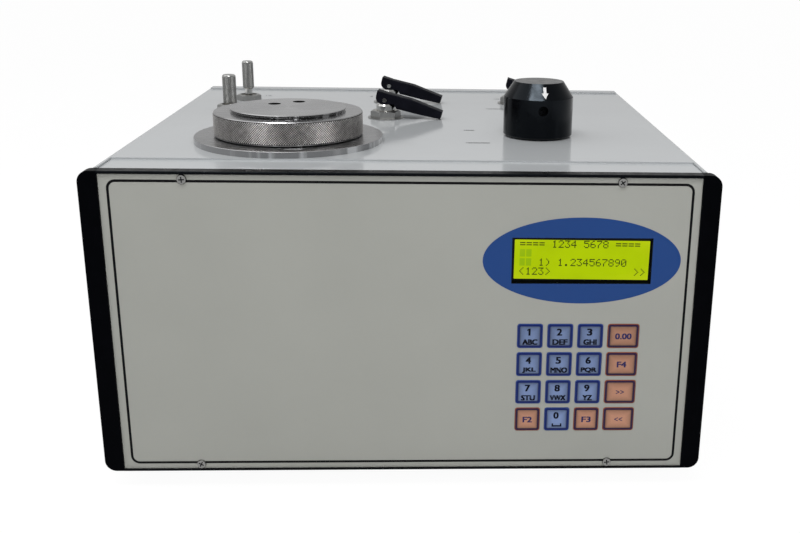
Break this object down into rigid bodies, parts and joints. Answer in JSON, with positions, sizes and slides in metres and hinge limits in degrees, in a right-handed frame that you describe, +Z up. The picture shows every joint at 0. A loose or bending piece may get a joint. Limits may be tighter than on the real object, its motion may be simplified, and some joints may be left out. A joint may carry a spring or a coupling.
{
  "type": "gas pycnometer density meter",
  "caption": "Benchtop gas pycnometer: sheet-metal case with display and keypad, sample chamber under a knurled screw lid, and needle, toggle and selector valves on the deck.",
  "frame": {"origin": "bottom centre of the bounding box, on the soles of the feet", "axes": "+Z up, +X to the right seen from the front, +Y to the rear; the front panel faces -Y"},
  "size_m": [0.35, 0.34, 0.2258],
  "materials": {
    "case_grey": "satin powder coat",
    "tray_zinc": "zinc plated",
    "front_black": "satin black anodised",
    "panel_metal": "plain aluminium behind the overlay",
    "overlay_film": "fine textured polyester film",
    "foot_rubber": "matt",
    "screw_steel": "bright plated",
    "display": "black bezel with a yellow-green backlight",
    "circuit_film": "amber flexible circuit with snap domes",
    "board_green": "solder-masked board",
    "supply_case": "folded sheet",
    "inlet_black": "moulded black",
    "rocker_black": "polished black",
    "port_plate": "tin plated",
    "chamber_steel": "turned stainless steel",
    "ring_steel": "stainless steel with a diamond knurl",
    "cup_aluminium": "turned",
    "seal_rubber": "smooth",
    "nut_plating": "bright nickel",
    "valve_nickel": "nickel-plated brass, machined",
    "fitting_brass": "machined",
    "needle_steel": "ground",
    "needle_knob": "plated, diamond knurled",
    "lever_black": "satin moulded nylon",
    "valve_aluminium": "machined",
    "knob_black": "satin moulded phenolic",
    "tank_steel": "drawn stainless steel",
    "key_blue": "embossed film, light blue",
    "key_salmon": "embossed film, salmon"
  },
  "bodies": {
    "case": {"base_tray": "tray_zinc", "top_cover": "case_grey", "top_front_strip": "case_grey", "front_panel": "panel_metal", "front_overlay": "overlay_film", "front_pillars": "front_black", "front_rail_top": "front_black", "front_rail_bottom": "front_black", "rear_panel": "case_grey", "feet": "foot_rubber", "case_screws": "screw_steel", "display_module": "display", "keypad_circuit": "circuit_film", "main_board": "board_green", "power_supply": "supply_case", "power_inlet": "inlet_black", "serial_port": "port_plate", "chamber_body": "chamber_steel", "sample_cup": "cup_aluminium", "panel_nuts": "nut_plating", "needle_valve_bodies": "valve_nickel", "toggle_valve_bodies": "valve_nickel", "toggle_bonnets": "nut_plating", "selector_body": "valve_aluminium", "reference_chamber": "tank_steel", "pressure_transducer": "tank_steel", "gas_fittings": "fitting_brass", "gas_tubes": "tank_steel"},
    "key_1": {"key_1": "key_blue"},
    "key_2": {"key_2": "key_blue"},
    "key_3": {"key_3": "key_blue"},
    "key_zero": {"key_zero": "key_salmon"},
    "key_4": {"key_4": "key_blue"},
    "key_5": {"key_5": "key_blue"},
    "key_6": {"key_6": "key_blue"},
    "key_skip": {"key_skip": "key_salmon"},
    "key_7": {"key_7": "key_blue"},
    "key_8": {"key_8": "key_blue"},
    "key_9": {"key_9": "key_blue"},
    "key_next": {"key_next": "key_salmon"},
    "key_escape": {"key_escape": "key_salmon"},
    "key_0": {"key_0": "key_blue"},
    "key_enter": {"key_enter": "key_salmon"},
    "key_back": {"key_back": "key_salmon"},
    "lid": {"lid_disc": "chamber_steel", "lid_seal": "seal_rubber"},
    "lid_ring": {"lid_ring": "ring_steel"},
    "needle_front": {"needle_front": "needle_steel"},
    "needle_knob_front": {"needle_knob_front": "needle_knob"},
    "needle_rear": {"needle_rear": "needle_steel"},
    "needle_knob_rear": {"needle_knob_rear": "needle_knob"},
    "toggle_stem_front": {"toggle_stem_front": "needle_steel"},
    "toggle_handle_front": {"toggle_handle_front": "lever_black"},
    "toggle_stem_rear": {"toggle_stem_rear": "needle_steel"},
    "toggle_handle_rear": {"toggle_handle_rear": "lever_black"},
    "toggle_stem_right": {"toggle_stem_right": "needle_steel"},
    "toggle_handle_right": {"toggle_handle_right": "lever_black"},
    "selector": {"selector_rotor": "needle_steel", "selector_knob": "knob_black"},
    "power_rocker": {"power_rocker": "rocker_black"}
  },
  "joints": [
    {"name": "press_key_1", "type": "slide", "parent": "case", "child": "key_1", "axis": [0, 1, 0], "range_m": [0, 0.0004], "stiffness_N_per_m": 3000, "springref_m": -0.0001},
    {"name": "press_key_2", "type": "slide", "parent": "case", "child": "key_2", "axis": [0, 1, 0], "range_m": [0, 0.0004], "stiffness_N_per_m": 3000, "springref_m": -0.0001},
    {"name": "press_key_3", "type": "slide", "parent": "case", "child": "key_3", "axis": [0, 1, 0], "range_m": [0, 0.0004], "stiffness_N_per_m": 3000, "springref_m": -0.0001},
    {"name": "press_key_zero", "type": "slide", "parent": "case", "child": "key_zero", "axis": [0, 1, 0], "range_m": [0, 0.0004], "stiffness_N_per_m": 3000, "springref_m": -0.0001},
    {"name": "press_key_4", "type": "slide", "parent": "case", "child": "key_4", "axis": [0, 1, 0], "range_m": [0, 0.0004], "stiffness_N_per_m": 3000, "springref_m": -0.0001},
    {"name": "press_key_5", "type": "slide", "parent": "case", "child": "key_5", "axis": [0, 1, 0], "range_m": [0, 0.0004], "stiffness_N_per_m": 3000, "springref_m": -0.0001},
    {"name": "press_key_6", "type": "slide", "parent": "case", "child": "key_6", "axis": [0, 1, 0], "range_m": [0, 0.0004], "stiffness_N_per_m": 3000, "springref_m": -0.0001},
    {"name": "press_key_skip", "type": "slide", "parent": "case", "child": "key_skip", "axis": [0, 1, 0], "range_m": [0, 0.0004], "stiffness_N_per_m": 3000, "springref_m": -0.0001},
    {"name": "press_key_7", "type": "slide", "parent": "case", "child": "key_7", "axis": [0, 1, 0], "range_m": [0, 0.0004], "stiffness_N_per_m": 3000, "springref_m": -0.0001},
    {"name": "press_key_8", "type": "slide", "parent": "case", "child": "key_8", "axis": [0, 1, 0], "range_m": [0, 0.0004], "stiffness_N_per_m": 3000, "springref_m": -0.0001},
    {"name": "press_key_9", "type": "slide", "parent": "case", "child": "key_9", "axis": [0, 1, 0], "range_m": [0, 0.0004], "stiffness_N_per_m": 3000, "springref_m": -0.0001},
    {"name": "press_key_next", "type": "slide", "parent": "case", "child": "key_next", "axis": [0, 1, 0], "range_m": [0, 0.0004], "stiffness_N_per_m": 3000, "springref_m": -0.0001},
    {"name": "press_key_escape", "type": "slide", "parent": "case", "child": "key_escape", "axis": [0, 1, 0], "range_m": [0, 0.0004], "stiffness_N_per_m": 3000, "springref_m": -0.0001},
    {"name": "press_key_0", "type": "slide", "parent": "case", "child": "key_0", "axis": [0, 1, 0], "range_m": [0, 0.0004], "stiffness_N_per_m": 3000, "springref_m": -0.0001},
    {"name": "press_key_enter", "type": "slide", "parent": "case", "child": "key_enter", "axis": [0, 1, 0], "range_m": [0, 0.0004], "stiffness_N_per_m": 3000, "springref_m": -0.0001},
    {"name": "press_key_back", "type": "slide", "parent": "case", "child": "key_back", "axis": [0, 1, 0], "range_m": [0, 0.0004], "stiffness_N_per_m": 3000, "springref_m": -0.0001},
    {"name": "lid_lift", "type": "slide", "parent": "case", "child": "lid", "axis": [0, 0, 1], "range_m": [0, 0.06]},
    {"name": "lid_ring_turn", "type": "hinge", "parent": "lid", "child": "lid_ring", "pos_m": [-0.0736, -0.079, 0.2016], "axis": [0, 0, 1], "range_deg": [0, 1080]},
    {"name": "needle_front_rise", "type": "slide", "parent": "case", "child": "needle_front", "axis": [0, 0, 1], "range_m": [0, 0.0042]},
    {"name": "needle_knob_front_turn", "type": "hinge", "parent": "needle_front", "child": "needle_knob_front", "pos_m": [-0.131, 0.035, 0.2026], "axis": [0, 0, 1], "range_deg": [0, 2016.5]},
    {"name": "needle_rear_rise", "type": "slide", "parent": "case", "child": "needle_rear", "axis": [0, 0, 1], "range_m": [-0.0042, 0]},
    {"name": "needle_knob_rear_turn", "type": "hinge", "parent": "needle_rear", "child": "needle_knob_rear", "pos_m": [-0.126, 0.084, 0.2026], "axis": [0, 0, 1], "range_deg": [-2016.5, 0]},
    {"name": "toggle_stem_front_lift", "type": "slide", "parent": "case", "child": "toggle_stem_front", "axis": [0, 0, 1], "range_m": [0, 0.00339]},
    {"name": "toggle_handle_front_swing", "type": "hinge", "parent": "toggle_stem_front", "child": "toggle_handle_front", "pos_m": [-0.0182, 0.0085, 0.2034], "axis": [-0.1045, -0.9945, 0], "range_deg": [0, 90]},
    {"name": "toggle_stem_rear_lift", "type": "slide", "parent": "case", "child": "toggle_stem_rear", "axis": [0, 0, 1], "range_m": [0, 0.00339]},
    {"name": "toggle_handle_rear_swing", "type": "hinge", "parent": "toggle_stem_rear", "child": "toggle_handle_rear", "pos_m": [-0.0182, 0.081, 0.2034], "axis": [-0.1045, -0.9945, 0], "range_deg": [0, 90]},
    {"name": "toggle_stem_right_lift", "type": "slide", "parent": "case", "child": "toggle_stem_right", "axis": [0, 0, 1], "range_m": [0, 0.00339]},
    {"name": "toggle_handle_right_swing", "type": "hinge", "parent": "toggle_stem_right", "child": "toggle_handle_right", "pos_m": [0.077, 0.081, 0.2034], "axis": [-0.1045, -0.9945, 0], "range_deg": [0, 90]},
    {"name": "selector_turn", "type": "hinge", "parent": "case", "child": "selector", "pos_m": [0.0828, -0.055, 0.2006], "axis": [0, 0, 1], "range_deg": [-90, 90]},
    {"name": "power_rocker_tilt", "type": "hinge", "parent": "case", "child": "power_rocker", "pos_m": [0.118, 0.149, 0.074], "axis": [-1, 0, 0], "range_deg": [0, 18]}
  ],
  "couplings": [
    {"joint": "needle_knob_front_turn", "follows": "needle_front_rise", "rad_per_m": 8377.6},
    {"joint": "needle_knob_rear_turn", "follows": "needle_rear_rise", "rad_per_m": 8377.6},
    {"joint": "toggle_handle_front_swing", "follows": "toggle_stem_front_lift", "rad_per_m": 462.8},
    {"joint": "toggle_handle_rear_swing", "follows": "toggle_stem_rear_lift", "rad_per_m": 462.8},
    {"joint": "toggle_handle_right_swing", "follows": "toggle_stem_right_lift", "rad_per_m": 462.8}
  ]
}
